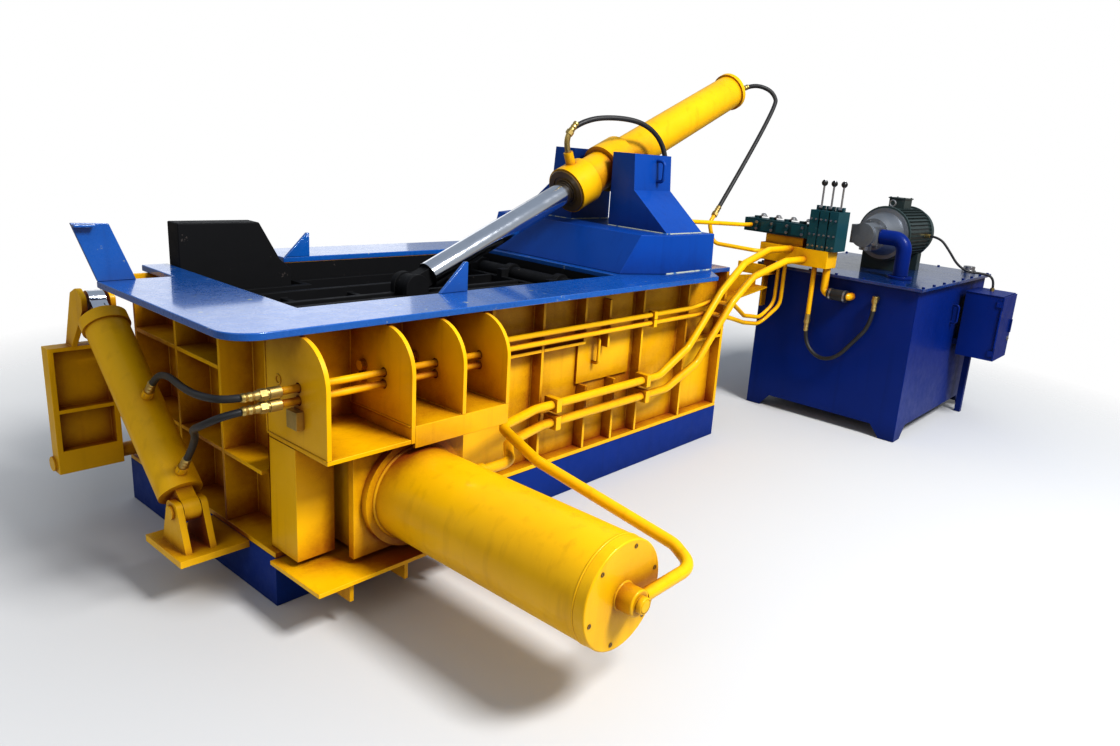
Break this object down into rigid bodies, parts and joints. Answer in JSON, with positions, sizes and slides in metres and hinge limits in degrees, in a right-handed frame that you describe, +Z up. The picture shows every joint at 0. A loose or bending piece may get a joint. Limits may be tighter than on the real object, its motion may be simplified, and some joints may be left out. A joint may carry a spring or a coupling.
{
  "type": "hydraulic scrap baler",
  "caption": "Hydraulic press with a lidded feed box, side and end rams, a tilting discharge door and its own oil power unit, for baling scrap metal.",
  "frame": {"origin": "centre of the press skid's underside, on the floor", "axes": "+X along the press towards the oil tank, +Y to the back of the press where the discharge door tips out, +Z up"},
  "size_m": [5.33, 2.661, 2.1846],
  "materials": {
    "frame_yellow": "glossy machine paint, chipped and dusty at the edges",
    "rim_blue": "glossy blue machine paint",
    "tank_blue": "satin dark blue machine paint",
    "chamber_black": "matte black paint, scuffed",
    "rod_chrome": "hard chrome, polished",
    "bare_steel": "turned steel",
    "motor_grey": "satin green-grey paint",
    "bell_alloy": "as cast",
    "valve_teal": "satin teal paint",
    "fitting_brass": "turned, dull",
    "hose_rubber": "ribbed black rubber"
  },
  "bodies": {
    "press": {"skid_frame": "tank_blue", "floor_plate": "frame_yellow", "front_wall": "frame_yellow", "rear_wall": "frame_yellow", "left_wall": "frame_yellow", "right_end_wall": "frame_yellow", "shear_beam": "chamber_black", "rim_plate": "rim_blue", "rim_guards": "rim_blue", "crosshead_beam": "rim_blue", "trunnion_brackets": "rim_blue", "front_ribs": "frame_yellow", "rear_and_end_ribs": "frame_yellow", "side_gussets": "frame_yellow", "gusset_shelf": "frame_yellow", "side_cylinder_mount": "frame_yellow", "side_barrel": "frame_yellow", "side_end_cap": "frame_yellow", "main_barrel": "frame_yellow", "door_cylinder_foot": "frame_yellow", "door_bearings": "frame_yellow", "thin_pipes": "frame_yellow", "thick_pipes": "frame_yellow", "pipe_clamps": "frame_yellow", "oil_tank": "tank_blue", "tank_cover": "tank_blue", "filler_cap": "bare_steel", "motor_housing": "motor_grey", "pump_and_bell": "bell_alloy", "suction_elbow": "tank_blue", "electrical_box": "tank_blue", "valve_bank": "valve_teal", "manifold": "frame_yellow", "valve_stand": "frame_yellow", "pipe_arm": "frame_yellow", "hose_fittings": "fitting_brass", "link_pipes": "frame_yellow", "lid_head_hose": "hose_rubber", "lid_tail_hose": "hose_rubber", "door_hose_upper": "hose_rubber", "door_hose_lower": "hose_rubber", "drain_hose": "hose_rubber", "motor_cable": "hose_rubber"},
    "lid": {"lid_frame": "chamber_black", "lid_shaft": "chamber_black"},
    "lid_cylinder": {"lid_barrel": "frame_yellow"},
    "lid_piston": {"lid_rod": "rod_chrome"},
    "door": {"door_leaf": "chamber_black", "door_arm": "frame_yellow"},
    "door_cylinder": {"door_barrel": "frame_yellow"},
    "door_piston": {"door_rod": "rod_chrome"},
    "main_ram_body": {"main_rod": "rod_chrome", "main_ram": "chamber_black"},
    "side_ram_body": {"side_rod": "rod_chrome", "side_ram": "chamber_black"},
    "rotor": {"motor_rotor": "bare_steel"},
    "box_door_leaf": {"box_door": "tank_blue"},
    "lever_a": {"lever_1": "bare_steel"},
    "lever_b": {"lever_2": "bare_steel"},
    "lever_c": {"lever_3": "bare_steel"}
  },
  "joints": [
    {"name": "lid_hinge", "type": "hinge", "parent": "press", "child": "lid", "pos_m": [0.395, 0, 0.94], "axis": [0, 1, 0], "range_deg": [0, 65]},
    {"name": "lid_cylinder_swing", "type": "hinge", "parent": "press", "child": "lid_cylinder", "pos_m": [0.955, 0, 1.56], "axis": [0, 1, 0], "range_deg": [0, 31.23], "deforming": ["lid_head_hose", "lid_tail_hose"]},
    {"name": "lid_rod_slide", "type": "slide", "parent": "lid_cylinder", "child": "lid_piston", "axis": [0.9154, 0, 0.4026], "range_m": [0, 0.60043]},
    {"name": "door_tilt", "type": "hinge", "parent": "press", "child": "door", "pos_m": [-1, 0.55, 0.25], "axis": [-1, 0, 0], "range_deg": [0, 80]},
    {"name": "door_cylinder_swing", "type": "hinge", "parent": "press", "child": "door_cylinder", "pos_m": [-1.545, -0.296, 0.315], "axis": [-1, 0, 0], "range_deg": [0, 33.71], "deforming": ["door_hose_upper", "door_hose_lower"]},
    {"name": "door_rod_slide", "type": "slide", "parent": "door_cylinder", "child": "door_piston", "axis": [0, 0.7485, 0.6631], "range_m": [0, 0.5765]},
    {"name": "main_ram_slide", "type": "slide", "parent": "press", "child": "main_ram_body", "axis": [-1, 0, 0], "range_m": [0, 1.045]},
    {"name": "side_ram_slide", "type": "slide", "parent": "press", "child": "side_ram_body", "axis": [0, 1, 0], "range_m": [0, 0.7]},
    {"name": "motor_spin", "type": "hinge", "parent": "press", "child": "rotor", "pos_m": [3, -0.95, 1.24], "axis": [1, 0, 0], "continuous": true},
    {"name": "box_door_hinge", "type": "hinge", "parent": "press", "child": "box_door_leaf", "pos_m": [3.038, -1.736, 0.69], "axis": [0, 0, -1], "range_deg": [0, 110]},
    {"name": "lever_1_tilt", "type": "hinge", "parent": "press", "child": "lever_a", "pos_m": [2.122, -0.775, 1.398], "axis": [0, 1, 0], "range_deg": [-18, 18], "stiffness_Nm_per_rad": 8},
    {"name": "lever_2_tilt", "type": "hinge", "parent": "press", "child": "lever_b", "pos_m": [2.122, -0.841, 1.398], "axis": [0, 1, 0], "range_deg": [-18, 18], "stiffness_Nm_per_rad": 8},
    {"name": "lever_3_tilt", "type": "hinge", "parent": "press", "child": "lever_c", "pos_m": [2.122, -0.907, 1.398], "axis": [0, 1, 0], "range_deg": [-18, 18], "stiffness_Nm_per_rad": 8}
  ],
  "couplings": [
    {"joint": "lid_cylinder_swing", "follows": "lid_hinge", "ratio": 0.4805},
    {"joint": "lid_rod_slide", "follows": "lid_hinge", "m_per_rad": 0.52925},
    {"joint": "door_cylinder_swing", "follows": "door_tilt", "ratio": 0.42136},
    {"joint": "door_rod_slide", "follows": "door_tilt", "m_per_rad": 0.41287}
  ]
}
